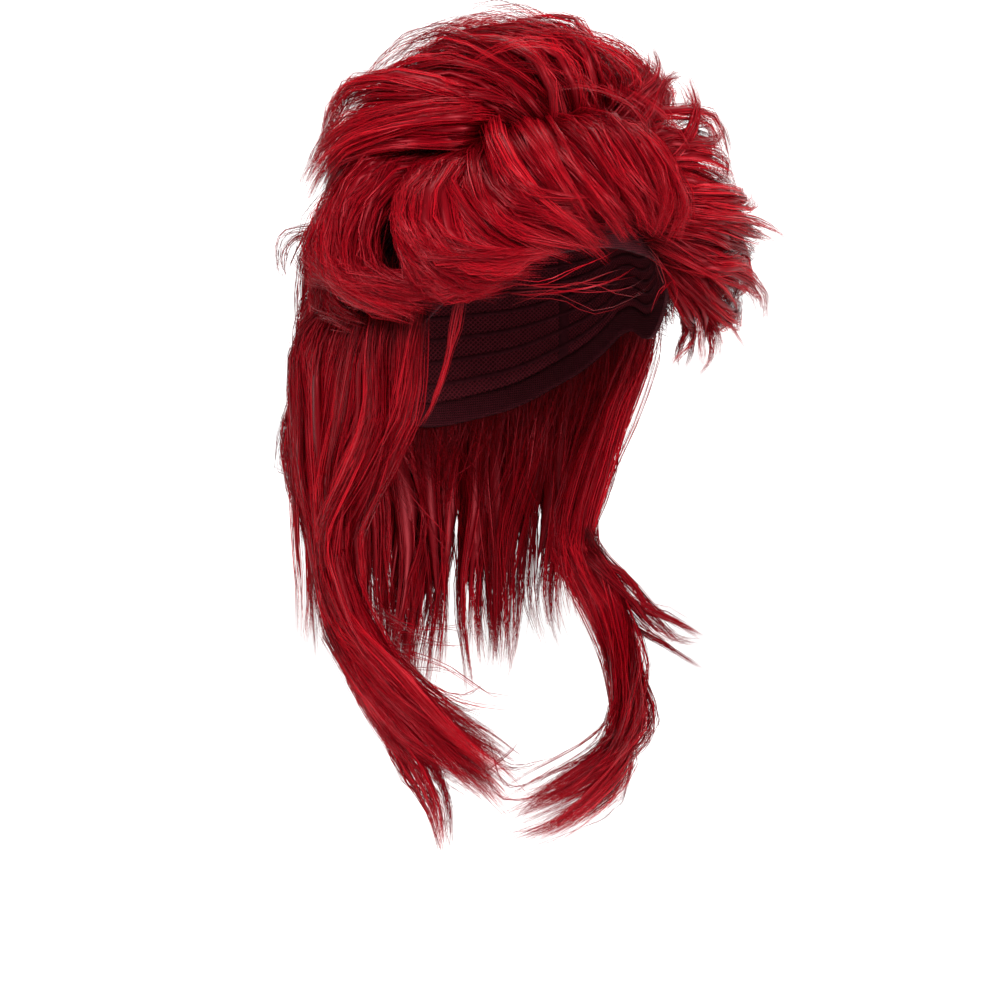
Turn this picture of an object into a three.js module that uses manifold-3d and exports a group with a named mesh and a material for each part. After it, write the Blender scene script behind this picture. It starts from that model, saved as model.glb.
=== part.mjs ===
// A long-backed layered wig in the shape it takes when worn: a net cap sewn from five panels, a band
// round its edge, and eight banks of hair. Each bank is a set of locks fused to padding, which is
// the hair that they grow from.
// Millimetres, +Z up. The wearer faces -Y, and the wearer's left is +X.
// The origin is inside the cap, where the top of the head touches it.
import * as THREE from "three";
import { mergeVertices } from "three/addons/utils/BufferGeometryUtils.js";
import Module from "manifold-3d";

const wasm = await Module();
wasm.setup();

// The hollow that the head fills
const headWidth = 154;
const headLength = 194;
const crownHeight = 97; // from the widest level up to the crown
const napeDepth = 140; // from the widest level down to where the skull's curve would close

// The cap
const capWall = 1.5;
const bandWall = 2.2;
const bandHeight = 13;
const seatGap = 0.3; // between pieces that touch
const crownSeam = 50; // degrees of elevation at the round seam below the crown panel

// The hair
const loft = 60; // how far the fullest hair stands off the head
const neckReach = 80; // from the neck's middle to the hair that hangs beside it
const fullDrop = 385; // from the crown to the lowest tip

const panelDepth = -60; // degrees of elevation, below all of the cap's edge
const rootInset = 1.5; // degrees up from the cap's edge to the lowest roots
const halfTurn = 180; // degrees
const fullTurn = 2 * halfTurn;

// How finely the curved walls are faceted
const headFacetsRound = 20;
const headFacetsDown = 11;
const edgeFacetsRound = 32;
const lockSides = 5;
const lockStep = 45; // along a lock, between sections
const paddingStep = 12; // degrees round the head, between a padding's sections
const weld = 1e-3; // points nearer to each other than this are one
const facetSlack = 0.12; // how far a face may shift where small facets are merged

// The cap's lower edge, from the middle of the forehead round to the middle of the nape
const edgeColumns = { bearing: 0, elevation: 1 };
const capEdge = [
  [0, 19],
  [42, 13],
  [62, -3],
  [76, -15],
  [93, -7],
  [116, -23],
  [146, -34],
  [180, -38],
];

// The net panels below the crown seam, each between two bearings
const capPanels = [
  { name: "cap_front", bearings: [-48, 48] },
  { name: "cap_left", bearings: [48, 128] },
  { name: "cap_back", bearings: [128, 232] },
  { name: "cap_right", bearings: [-128, -48] },
];

// How a lock swells and thins from its root to its tip: share of its length, share of its size
const swellColumns = { along: 0, size: 1 };
const lockSwell = [
  [0, 0.62],
  [0.25, 0.95],
  [0.6, 1],
  [0.85, 0.66],
  [1, 0.14],
];

// A guide is the middle line of a bunch of hair, and a fan spreads its locks evenly across its
// guides. A row on the head is [bearing, elevation, lift]: degrees round from the face, positive to
// the wearer's left; degrees above the head's widest level; stand-off as a share of loft.
// A row that hangs is [bearing, reach, drop]: reach is a share of neckReach, and drop of fullDrop.
const fringeSwoop = {
  locks: 4,
  width: 30,
  thick: 14,
  guides: [
    { head: [[-30, 66, 0], [-28, 46, 0.3], [-20, 30, 0.27], [-9, 19, 0.14]] },
    { head: [[-12, 66, 0], [-10, 45, 0.42], [-4, 31, 0.36], [3, 20, 0.14]] },
    { head: [[2, 64, 0], [3, 47, 0.6], [8, 33, 0.55], [14, 23, 0.3]] },
  ],
};

const frontBurst = {
  locks: 8,
  width: 33,
  thick: 17,
  guides: [
    { head: [[16, 64, 0], [24, 57, 0.55], [35, 54, 0.86], [45, 53, 1.04]] },
    { head: [[16, 48, 0], [24, 42, 0.54], [38, 38, 0.78], [50, 36, 0.88]] },
    { head: [[18, 36, 0], [26, 30, 0.5], [42, 26, 0.74], [55, 25, 0.84]] },
    { head: [[18, 28, 0], [26, 21, 0.48], [43, 17, 0.72], [57, 17, 0.8]] },
    { head: [[22, 22, 0], [31, 13, 0.42], [46, 9, 0.66], [58, 9, 0.78]] },
    { head: [[28, 17, 0], [37, 6, 0.36], [50, 0, 0.58], [60, 1, 0.71]] },
    { head: [[36, 14, 0], [43, 1, 0.28], [53, -7, 0.4], [58, -12, 0.46]] },
  ],
};

const templeFlick = {
  locks: 1,
  width: 20,
  thick: 11,
  guides: [{ head: [[40, 8, 0.06], [50, -4, 0.24], [56, -14, 0.24], [49, -19, 0.1]] }],
};

const templeRoll = {
  locks: 3,
  width: 38,
  thick: 18,
  guides: [
    {
      head: [
        [-34, 56, 0], [-47, 42, 0.45], [-47, 27, 0.6],
        [-38, 14, 0.5], [-22, 10, 0.3], [-9, 13, 0.12],
      ],
    },
    {
      head: [
        [-46, 54, 0], [-56, 37, 0.52], [-55, 22, 0.64],
        [-48, 11, 0.56], [-36, 7, 0.36], [-24, 9, 0.18],
      ],
    },
    {
      head: [
        [-58, 52, 0], [-66, 34, 0.56], [-67, 18, 0.72],
        [-61, 5, 0.66], [-49, -1, 0.42], [-35, 5, 0.18],
      ],
    },
  ],
};

const sideRoll = {
  locks: 4,
  width: 40,
  thick: 19,
  guides: [
    {
      head: [
        [-70, 50, 0], [-77, 37, 0.58], [-80, 23, 0.82],
        [-75, 10, 0.8], [-65, 4, 0.6], [-54, 4, 0.4],
      ],
    },
    {
      head: [
        [-84, 49, 0], [-88, 36, 0.56], [-94, 22, 0.76],
        [-94, 11, 0.74], [-86, 3, 0.6], [-76, 1, 0.48],
      ],
    },
    {
      head: [
        [-100, 47, 0], [-106, 34, 0.44], [-114, 20, 0.5],
        [-116, 8, 0.56], [-109, -1, 0.54], [-99, -3, 0.46],
      ],
    },
  ],
};

const crownSweep = {
  locks: 3,
  width: 42,
  thick: 17,
  guides: [
    { head: [[-30, 78, 0], [-50, 62, 0.52], [-76, 56, 0.78], [-96, 48, 0.84], [-107, 37, 0.66]] },
    { head: [[-36, 72, 0], [-53, 54, 0.5], [-72, 48, 0.7], [-90, 42, 0.8], [-112, 32, 0.56]] },
    { head: [[-42, 66, 0], [-55, 46, 0.45], [-69, 40, 0.66], [-86, 34, 0.76], [-108, 25, 0.58]] },
  ],
};

const crownArcs = {
  locks: 5,
  width: 27,
  thick: 15,
  guides: [
    { head: [[-115, 74, 0], [-105, 76, 0.5], [-50, 74, 0.94], [-16, 67, 0.86], [2, 61, 0.45]] },
    { head: [[-60, 84, 0], [-38, 78, 0.62], [-12, 72, 0.98], [2, 62, 0.84], [9, 55, 0.48]] },
    { head: [[40, 82, 0], [20, 72, 0.62], [16, 60, 0.9], [17, 51, 0.84], [18, 44, 0.62]] },
    { head: [[64, 76, 0], [54, 68, 0.6], [44, 58, 0.84], [42, 50, 0.82], [40, 43, 0.7]] },
  ],
};

const backTop = {
  locks: 5,
  width: 60,
  thick: 21,
  guides: [
    { head: [[84, 72, 0], [88, 58, 0.56], [94, 42, 0.74], [99, 26, 0.7], [106, 12, 0.58]] },
    { head: [[180, 74, 0], [176, 60, 0.5], [174, 43, 0.66], [170, 27, 0.62], [168, 12, 0.48]] },
    { head: [[250, 72, 0], [240, 56, 0.5], [236, 41, 0.62], [232, 26, 0.52], [226, 12, 0.46]] },
  ],
};

const backLow = {
  locks: 5,
  width: 60,
  thick: 20,
  guides: [
    { head: [[106, 40, 0], [110, 27, 0.42], [114, 11, 0.56], [118, -3, 0.54], [123, -15, 0.42]] },
    { head: [[180, 40, 0], [178, 27, 0.38], [175, 11, 0.48], [172, -3, 0.5], [168, -15, 0.4]] },
    { head: [[244, 40, 0], [242, 27, 0.38], [241, 11, 0.48], [238, -2, 0.52], [232, -13, 0.44]] },
  ],
};

const rightLength = {
  locks: 5,
  width: 34,
  thick: 16,
  guides: [
    {
      head: [[-64, 2, 0.06], [-63, -11, 0.16], [-71, -29, 0.18]],
      hang: [
        [-86, 1, 0.46], [-106, 1.02, 0.54], [-114, 1.1, 0.61], [-104, 1.1, 0.69],
        [-78, 0.98, 0.76], [-48, 0.87, 0.82], [-24, 0.82, 0.875],
      ],
    },
    {
      head: [[-81, 1, 0.08], [-78, -13, 0.24], [-81, -32, 0.3]],
      hang: [
        [-94, 1.18, 0.48], [-105, 1.24, 0.56], [-104, 1.2, 0.64], [-92, 1.11, 0.71],
        [-68, 0.99, 0.785], [-44, 0.88, 0.845], [-24, 0.82, 0.9],
      ],
    },
    {
      head: [[-102, 1, 0.1], [-99, -13, 0.36], [-102, -30, 0.5]],
      hang: [
        [-104, 1.34, 0.5], [-108, 1.3, 0.59], [-101, 1.22, 0.67], [-84, 1.1, 0.755],
        [-60, 0.98, 0.825], [-41, 0.88, 0.885], [-26, 0.84, 0.925],
      ],
    },
    {
      head: [[-123, 1, 0.2], [-122, -11, 0.56], [-121, -26, 0.7]],
      hang: [
        [-112, 1.44, 0.51], [-111, 1.38, 0.6], [-104, 1.29, 0.69], [-87, 1.17, 0.775],
        [-67, 1.02, 0.85], [-48, 0.92, 0.91], [-34, 0.87, 0.95],
      ],
    },
  ],
};

const chestLock = {
  locks: 1,
  width: 20,
  thick: 11,
  guides: [{
    hang: [
      [-104, 1.26, 0.68], [-88, 1.14, 0.77], [-71, 1.03, 0.86],
      [-61, 0.98, 0.93], [-56, 0.97, 1],
    ],
  }],
};

const leftLength = {
  locks: 5,
  width: 32,
  thick: 16,
  guides: [
    {
      head: [[84, 2, 0.06], [89, -11, 0.14], [99, -30, 0.14]],
      hang: [
        [112, 0.93, 0.49], [118, 0.9, 0.6], [104, 0.92, 0.685], [87, 0.86, 0.76],
        [50, 0.76, 0.825], [12, 0.73, 0.88], [-14, 0.77, 0.92],
      ],
    },
    {
      head: [[122, 1, 0.14], [122, -12, 0.44], [124, -28, 0.5]],
      hang: [
        [125, 1.22, 0.5], [122, 1.02, 0.6], [106, 0.99, 0.69], [88, 0.93, 0.77],
        [64, 0.84, 0.84], [28, 0.82, 0.905], [-10, 0.83, 0.95],
      ],
    },
  ],
};

const leftFlick = {
  locks: 1,
  width: 20,
  thick: 11,
  guides: [{
    hang: [
      [116, 0.98, 0.59], [104, 1, 0.64], [94, 1.1, 0.685],
      [86, 1.26, 0.715], [80, 1.42, 0.735],
    ],
  }],
};

const napeCurtain = {
  locks: 5,
  width: 58,
  thick: 19,
  guides: [
    {
      head: [[124, -10, 0.1], [126, -24, 0.4]],
      hang: [[130, 1.38, 0.46], [132, 1.28, 0.56], [130, 1.2, 0.66], [126, 1.2, 0.74]],
    },
    {
      head: [[180, -10, 0.1], [180, -24, 0.4]],
      hang: [[180, 1.52, 0.46], [179, 1.42, 0.58], [181, 1.34, 0.71], [180, 1.33, 0.86]],
    },
    {
      head: [[234, -10, 0.16], [236, -24, 0.6]],
      hang: [[241, 1.48, 0.46], [245, 1.41, 0.56], [248, 1.38, 0.64], [249, 1.4, 0.72]],
    },
  ],
};

const mirrored = (fan) => ({
  ...fan,
  guides: fan.guides.map(({ head }) => ({
    head: head.map(([bearing, elevation, lift]) => [-bearing, elevation, lift]),
  })),
});

// The banks of hair, from those that lie on top. Padding is the hair under the locks, between two
// bearings and two elevations, and its lift is a share of loft.
const banks = [
  {
    name: "fringe_hair",
    padding: { bearings: [-38, 12], elevations: [14, 68], lift: 0.22 },
    fans: [fringeSwoop],
  },
  {
    name: "left_front_hair",
    padding: { bearings: [12, 62], elevations: [0, 68], lift: 0.34 },
    fans: [frontBurst, templeFlick],
  },
  {
    name: "right_roll_hair",
    padding: { bearings: [-112, -38], elevations: [6, 56], lift: 0.4 },
    fans: [templeRoll, sideRoll],
  },
  {
    name: "left_roll_hair",
    padding: { bearings: [62, 112], elevations: [6, 56], lift: 0.4 },
    fans: [mirrored(sideRoll)],
  },
  {
    name: "crown_hair",
    padding: { bearings: [112, 248], elevations: [-5, 89], lift: 0.42 },
    fans: [crownSweep, crownArcs, backTop, backLow],
    dome: { elevation: 62, lift: 0.42 },
  },
  {
    name: "right_length_hair",
    padding: { bearings: [-128, -58], elevations: [-20, 4], lift: 0.14 },
    fans: [rightLength, chestLock],
  },
  {
    name: "left_length_hair",
    padding: { bearings: [60, 118], elevations: [-20, 4], lift: 0.14 },
    fans: [leftLength, leftFlick],
  },
  {
    name: "nape_hair",
    padding: { bearings: [118, 232], elevations: [-36, -6], lift: 0.16 },
    fans: [napeCurtain],
  },
];

const middle = new THREE.Vector3(0, 0, -crownHeight);
const farOut = 3 * loft; // past all the hair that stands on the head
const { degToRad, radToDeg, lerp, euclideanModulo, smoothstep } = THREE.MathUtils;

function direction(bearing, elevation) {
  const b = degToRad(bearing);
  const e = degToRad(elevation);
  return new THREE.Vector3(Math.sin(b) * Math.cos(e), -Math.cos(b) * Math.cos(e), Math.sin(e));
}

function skullRadius(way, offset) {
  const tall = way.z >= 0 ? crownHeight : napeDepth;
  return 1 / Math.hypot(
    way.x / (headWidth / 2 + offset),
    way.y / (headLength / 2 + offset),
    way.z / (tall + offset),
  );
}

function offHead(bearing, elevation, offset) {
  const way = direction(bearing, elevation);
  return way.clone().multiplyScalar(skullRadius(way, offset)).add(middle);
}

function hanging([bearing, reach, drop]) {
  const b = degToRad(bearing);
  const out = reach * neckReach;
  return new THREE.Vector3(Math.sin(b) * out, -Math.cos(b) * out, -drop * fullDrop);
}

function standing([bearing, elevation, lift]) {
  return offHead(bearing, elevation, bandWall + seatGap + lift * loft);
}

// A value between a table's rows, with no kink where they join
function readTable(rows, from, to, at) {
  const next = Math.max(1, rows.findIndex((row) => row[from] >= at));
  const share = (at - rows[next - 1][from]) / (rows[next][from] - rows[next - 1][from]);
  return lerp(rows[next - 1][to], rows[next][to], smoothstep(share, 0, 1));
}

// How many degrees of elevation a length up the head takes, where the cap's edge is
function degreesUp(bearing, elevation, length) {
  return radToDeg(length / skullRadius(direction(bearing, elevation), 0));
}

function bandBottom(bearing) {
  const fromFront = Math.abs(euclideanModulo(bearing + halfTurn, fullTurn) - halfTurn);
  return readTable(capEdge, edgeColumns.bearing, edgeColumns.elevation, fromFront);
}

function bandTop(bearing) {
  return bandBottom(bearing) + degreesUp(bearing, bandBottom(bearing), bandHeight);
}

function capBottom(bearing) {
  return bandTop(bearing) + degreesUp(bearing, bandTop(bearing), seatGap);
}

function solidFrom(geometry) {
  const bare = geometry.index ? geometry.toNonIndexed() : geometry.clone();
  bare.deleteAttribute("normal");
  bare.deleteAttribute("uv");
  const merged = mergeVertices(bare, weld);
  const kept = [];
  for (let i = 0; i < merged.index.count; i += 3) {
    const [a, b, c] = [0, 1, 2].map((k) => merged.index.getX(i + k));
    if (a !== b && b !== c && c !== a) kept.push(a, b, c);
  }
  return new wasm.Manifold(new wasm.Mesh({
    numProp: 3,
    vertProperties: merged.attributes.position.array,
    triVerts: new Uint32Array(kept),
  }));
}

function geometryFrom(solid) {
  const mesh = solid.getMesh();
  const geometry = new THREE.BufferGeometry();
  geometry.setAttribute("position", new THREE.BufferAttribute(mesh.vertProperties, 3));
  geometry.setIndex(new THREE.BufferAttribute(mesh.triVerts, 1));
  geometry.computeVertexNormals();
  return geometry;
}

const joined = (solids) => solids.reduce((whole, solid) => whole.add(solid));

// A skin over rings of points, each turning clockwise as seen along the way, with both ends closed
function skinOver(rings) {
  const corners = [];
  const face = (...points) => points.forEach((p) => corners.push(p.x, p.y, p.z));
  const after = (ring, k) => ring[(k + 1) % ring.length];
  rings.slice(1).forEach((ring, i) => {
    const last = rings[i];
    ring.forEach((p, k) => {
      face(last[k], after(last, k), after(ring, k));
      face(last[k], after(ring, k), p);
    });
  });
  const [first, final] = [rings[0], rings.at(-1)];
  for (let k = 1; k < first.length - 1; k += 1) {
    face(first[0], first[k + 1], first[k]);
    face(final[0], final[k], final[k + 1]);
  }
  const geometry = new THREE.BufferGeometry();
  geometry.setAttribute("position", new THREE.Float32BufferAttribute(corners, 3));
  return solidFrom(geometry);
}

// A ball whose points are each moved to a place of their own
function shapedBall(round, down, placeFor) {
  const ball = new THREE.SphereGeometry(1, round, down);
  ball.rotateX(Math.PI / 2);
  const points = ball.attributes.position;
  for (let i = 0; i < points.count; i += 1) {
    const place = placeFor(new THREE.Vector3().fromBufferAttribute(points, i));
    points.setXYZ(i, place.x, place.y, place.z);
  }
  return solidFrom(ball);
}

// The skull's shape, grown by offset all round
function skull(offset) {
  return shapedBall(headFacetsRound, headFacetsDown, (way) => {
    return way.multiplyScalar(skullRadius(way, offset)).add(middle);
  });
}

// All the space above a line round the head: two rings of points between a top and a bottom pole
function spaceAbove(elevationAt) {
  return shapedBall(edgeFacetsRound, 3, (way) => {
    const atPole = Math.abs(way.z) > Math.cos(Math.PI / 6);
    const bearing = radToDeg(Math.atan2(way.x, -way.y));
    const place = atPole ? middle.clone() : offHead(bearing, elevationAt(bearing), farOut);
    if (way.z > 0) place.z = farOut;
    return place;
  });
}

// The space near the head between two bearings, from a line of elevations up to a level one
function sector([from, to], lowAt, high) {
  const deep = -crownHeight / 2;
  const steps = Math.ceil((to - from) / paddingStep);
  const bearings = Array.from({ length: steps + 1 }, (unused, i) => lerp(from, to, i / steps));
  return skinOver(bearings.map((b) => [
    offHead(b, lowAt(b), deep),
    offHead(b, high, deep),
    offHead(b, high, farOut),
    offHead(b, lowAt(b), farOut),
  ]));
}

// The rows of a guide that lies between two others
function guideBetween(guides, share) {
  const at = share * (guides.length - 1);
  const first = Math.min(Math.floor(at), Math.max(0, guides.length - 2));
  const second = Math.min(first + 1, guides.length - 1);
  const mixed = (rows = [], others = []) => rows.map((row, i) => {
    return row.map((value, k) => lerp(value, others[i][k], at - first));
  });
  return {
    head: mixed(guides[first].head, guides[second].head),
    hang: mixed(guides[first].hang, guides[second].hang),
  };
}

// A lock: flat sections along a curve, with their width along the head and their thickness off it
function lock({ head, hang }, width, thick, grown) {
  const route = new THREE.CatmullRomCurve3([...head.map(standing), ...hang.map(hanging)]);
  const steps = Math.ceil(route.getLength() / lockStep);
  const rings = route.getSpacedPoints(steps).map((point, i) => {
    const along = route.getTangentAt(i / steps);
    const core = new THREE.Vector3(0, 0, Math.min(point.z, middle.z));
    const across = point.clone().sub(core).cross(along).normalize();
    const off = along.clone().cross(across);
    const size = readTable(lockSwell, swellColumns.along, swellColumns.size, i / steps);
    if (i === steps) point.addScaledVector(along, grown);
    return Array.from({ length: lockSides }, (unused, k) => {
      const turn = (2 * Math.PI * k) / lockSides;
      return point.clone()
        .addScaledVector(across, Math.cos(turn) * ((size * width) / 2 + grown))
        .addScaledVector(off, Math.sin(turn) * ((size * thick) / 2 + grown));
    });
  });
  return skinOver(rings);
}

function locksOf({ locks, width, thick, guides }, grown) {
  return Array.from({ length: locks }, (unused, i) => {
    const share = locks > 1 ? i / (locks - 1) : 0;
    return lock(guideBetween(guides, share), width, thick, grown);
  });
}

const bandSpace = skull(bandWall + seatGap).subtract(spaceAbove(capBottom));
const coveredHead = skull(capWall + seatGap).add(bandSpace);

// A bank of hair, or with grown above 0 the space that its neighbours keep clear of
function bankOf({ padding, dome, fans }, grown) {
  const spare = degreesUp(0, 0, grown);
  const [low, high] = padding.elevations;
  const [from, to] = padding.bearings;
  const thickness = (lift) => bandWall + seatGap + lift * loft + grown;
  const rootsFrom = (b) => Math.max(low, bandBottom(b) + rootInset) - spare;
  const space = sector([from - spare, to + spare], rootsFrom, high + spare);
  const parts = [skull(thickness(padding.lift)).intersect(space)];
  if (dome) {
    const above = spaceAbove(() => dome.elevation - spare);
    parts.push(skull(thickness(dome.lift)).intersect(above));
  }
  return joined([...parts, ...fans.flatMap((fan) => locksOf(fan, grown))]);
}

// The one body that the rest of a bank hangs on, with any sealed pocket inside it filled
function mainBody(solid) {
  const bodies = solidFrom(geometryFrom(solid)).decompose();
  return bodies.reduce((best, body) => (body.volume() > best.volume() ? body : best));
}

const netMaterial = new THREE.MeshStandardMaterial({ color: "#4b0c14", roughness: 0.9, metalness: 0 });
const bandMaterial = new THREE.MeshStandardMaterial({ color: "#2a1417", roughness: 0.8, metalness: 0 });
const hairMaterial = () => new THREE.MeshStandardMaterial({
  color: "#a3121f",
  roughness: 0.42,
  metalness: 0,
});

function named(name, solid, material) {
  const mesh = new THREE.Mesh(geometryFrom(solid), material);
  mesh.name = name;
  return mesh;
}

const group = new THREE.Group();
const net = skull(capWall).subtract(skull(0)).intersect(spaceAbove(capBottom));
const seamTurn = degreesUp(0, crownSeam, seatGap / 2);
const crownPanel = net.intersect(spaceAbove(() => crownSeam + seamTurn));
group.add(named("cap_crown", crownPanel, netMaterial));
capPanels.forEach(({ name, bearings: [from, to] }) => {
  const span = [from + seamTurn, to - seamTurn];
  const panel = net.intersect(sector(span, () => panelDepth, crownSeam - seamTurn));
  group.add(named(name, panel, netMaterial));
});

const aboveBand = spaceAbove(bandTop);
const band = skull(bandWall).subtract(skull(0)).subtract(aboveBand);
group.add(named("edge_band", band.intersect(spaceAbove(bandBottom)), bandMaterial));

let taken = coveredHead;
banks.forEach((bank) => {
  const clear = bankOf(bank, 0).subtract(taken);
  group.add(named(bank.name, mainBody(clear).simplify(facetSlack), hairMaterial()));
  taken = taken.add(mainBody(bankOf(bank, seatGap)));
});

export default group;
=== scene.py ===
# Dresses the wig: strands of hair over every bank, a knitted net cap and a woven edge band
import math

import bmesh
import bpy
import numpy as np
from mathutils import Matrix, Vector


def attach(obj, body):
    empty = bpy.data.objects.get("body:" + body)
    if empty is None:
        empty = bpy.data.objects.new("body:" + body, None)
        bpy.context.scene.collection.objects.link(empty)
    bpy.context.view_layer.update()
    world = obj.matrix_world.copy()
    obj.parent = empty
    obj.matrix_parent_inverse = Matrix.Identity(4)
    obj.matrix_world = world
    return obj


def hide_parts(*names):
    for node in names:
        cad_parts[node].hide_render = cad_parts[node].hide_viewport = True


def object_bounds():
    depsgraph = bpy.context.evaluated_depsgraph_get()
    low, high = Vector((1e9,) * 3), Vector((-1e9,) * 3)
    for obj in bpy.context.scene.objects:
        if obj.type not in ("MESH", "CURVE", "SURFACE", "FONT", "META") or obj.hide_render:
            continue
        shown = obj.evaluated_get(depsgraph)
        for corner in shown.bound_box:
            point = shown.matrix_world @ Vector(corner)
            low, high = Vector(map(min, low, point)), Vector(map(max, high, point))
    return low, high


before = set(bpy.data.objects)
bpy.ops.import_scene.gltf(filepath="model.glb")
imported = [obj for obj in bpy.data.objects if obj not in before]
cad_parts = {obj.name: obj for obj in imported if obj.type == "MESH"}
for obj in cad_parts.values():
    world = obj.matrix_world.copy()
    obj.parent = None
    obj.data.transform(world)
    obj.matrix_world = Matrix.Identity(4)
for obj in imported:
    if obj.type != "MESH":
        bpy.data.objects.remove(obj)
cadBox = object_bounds()
print("frame loaded:", len(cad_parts), "nodes")

# The same sizes as the solids have, in metres
wigSizes = {
    "headWidth": 0.154,
    "headLength": 0.194,
    "crownHeight": 0.097,
    "napeDepth": 0.140,
    "hairBase": 0.0025,  # where the hair starts, off the head
    "loft": 0.060,  # how far the fullest hair stands off the head
    "neckReach": 0.080,  # from the neck's middle to the hair beside it
    "fullDrop": 0.385,  # from the crown to the lowest tip
}
middle = np.array([0.0, 0.0, -wigSizes["crownHeight"]])


def headGuides(*guides):
    return [{"head": rows} for rows in guides]


def domeGuides(*guides):
    return [{"dome": rows} for rows in guides]


# A guide has rows on the head, [degrees round, degrees up, lift], and rows that hang,
# [degrees round, reach, drop], with lift, reach and drop as shares of loft, neckReach and fullDrop
fringeSwoop = {
    "guides": headGuides(
        [[-40, 58, 0], [-44, 40, 0.42], [-33, 23, 0.44], [-9, 17, 0.2]],
        [[-32, 64, 0], [-36, 45, 0.42], [-26, 28, 0.44], [-5, 18, 0.2]],
        [[-24, 66, 0], [-24, 47, 0.44], [-15, 31, 0.42], [0, 20, 0.2]],
        [[-12, 66, 0], [-10, 46, 0.46], [-3, 31, 0.44], [6, 20, 0.2]],
        [[2, 64, 0], [4, 48, 0.6], [9, 33, 0.52], [14, 21, 0.24]],
        [[10, 60, 0], [15, 47, 0.6], [22, 31, 0.5], [24, 18, 0.26]],
    ),
    "clumps": 72, "strands": 58, "spread": 7.0, "depth": 4.5, "curl": 4, "loose": 0.22,
    "fullTip": 1, "play": 3, "cross": 1.3, "rootScatter": 3,
}

frontBurst = {
    "guides": headGuides(
        [[16, 64, 0], [24, 57, 0.55], [35, 54, 0.86], [45, 53, 1.04]],
        [[16, 48, 0], [24, 42, 0.54], [38, 38, 0.78], [50, 36, 0.88]],
        [[18, 36, 0], [26, 30, 0.5], [42, 26, 0.7], [55, 24, 0.75]],
        [[18, 28, 0], [26, 21, 0.48], [43, 17, 0.68], [57, 16, 0.73]],
        [[22, 22, 0], [31, 13, 0.42], [46, 9, 0.66], [58, 9, 0.78]],
        [[28, 17, 0], [37, 6, 0.36], [50, 0, 0.58], [60, 1, 0.71]],
        [[36, 14, 0], [43, 1, 0.28], [53, -7, 0.4], [58, -12, 0.46]],
    ),
    "clumps": 92, "strands": 58, "spread": 7.0, "depth": 5.5, "curl": 7, "loose": 0.22,
    "hook": 15, "fullTip": 0.8, "play": 2.6, "perLock": 2,
}

templeFlick = {
    "guides": [{"head": [[40, 8, 0.06], [50, -4, 0.24], [56, -14, 0.24], [49, -19, 0.1]]}],
    "clumps": 6, "strands": 40, "spread": 4.0, "depth": 3.0, "curl": 3, "loose": 0.3,
    "hook": 6, "perLock": 3, "play": 1,
}

templeRoll = {
    "guides": headGuides(
        [[-34, 56, 0], [-47, 43, 0.45], [-47, 30, 0.6], [-38, 19, 0.5], [-22, 15, 0.32], [-9, 18, 0.16]],
        [[-46, 54, 0], [-56, 38, 0.52], [-55, 25, 0.64], [-48, 14, 0.56], [-36, 11, 0.38], [-24, 14, 0.2]],
        [[-58, 52, 0], [-66, 35, 0.56], [-67, 20, 0.72], [-61, 7, 0.66], [-49, 2, 0.42], [-35, 8, 0.2]],
    ),
    "clumps": 42, "strands": 66, "spread": 8.0, "depth": 5.0, "curl": 3, "loose": 0.18,
    "fullTip": 0.6, "rootScatter": 2,
}

sideRoll = {
    "guides": headGuides(
        [[-62, 51, 0], [-70, 37, 0.5], [-73, 21, 0.66], [-68, 8, 0.62], [-57, 2, 0.44], [-45, 4, 0.26]],
        [[-70, 50, 0], [-77, 37, 0.58], [-80, 23, 0.82], [-75, 10, 0.8], [-65, 4, 0.6], [-54, 4, 0.4]],
        [[-84, 49, 0], [-88, 36, 0.56], [-94, 22, 0.76], [-94, 11, 0.74], [-86, 3, 0.6], [-76, 1, 0.48]],
        [[-100, 47, 0], [-106, 34, 0.44], [-114, 20, 0.5], [-116, 8, 0.56],
         [-109, -1, 0.54], [-99, -3, 0.46]],
    ),
    "clumps": 54, "strands": 58, "spread": 8.0, "depth": 6.0, "curl": 5, "loose": 0.22,
    "fullTip": 0.5,
}

crownSweep = {
    "guides": headGuides(
        [[-30, 78, 0], [-50, 62, 0.6], [-76, 57, 0.96], [-96, 49, 1.0], [-108, 36, 0.72]],
        [[-36, 72, 0], [-53, 54, 0.54], [-72, 48, 0.8], [-90, 42, 0.88], [-112, 31, 0.6]],
        [[-42, 66, 0], [-55, 46, 0.45], [-69, 40, 0.66], [-86, 34, 0.76], [-108, 25, 0.58]],
    ),
    "clumps": 42, "strands": 60, "spread": 8.5, "depth": 5.0, "curl": 5, "loose": 0.22,
    "fullTip": 0.3,
}

# More locks where the temple's roll opens
rollFill = {
    "guides": headGuides(
        [[-52, 53, 0], [-61, 36, 0.5], [-61, 22, 0.6], [-54, 10, 0.54], [-42, 6, 0.36], [-30, 11, 0.2]],
    ),
    "clumps": 8, "strands": 48, "spread": 9.0, "depth": 6.0, "curl": 3, "loose": 0.18,
    "fullTip": 0.6, "perLock": 2, "play": 3.5,
}

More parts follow.
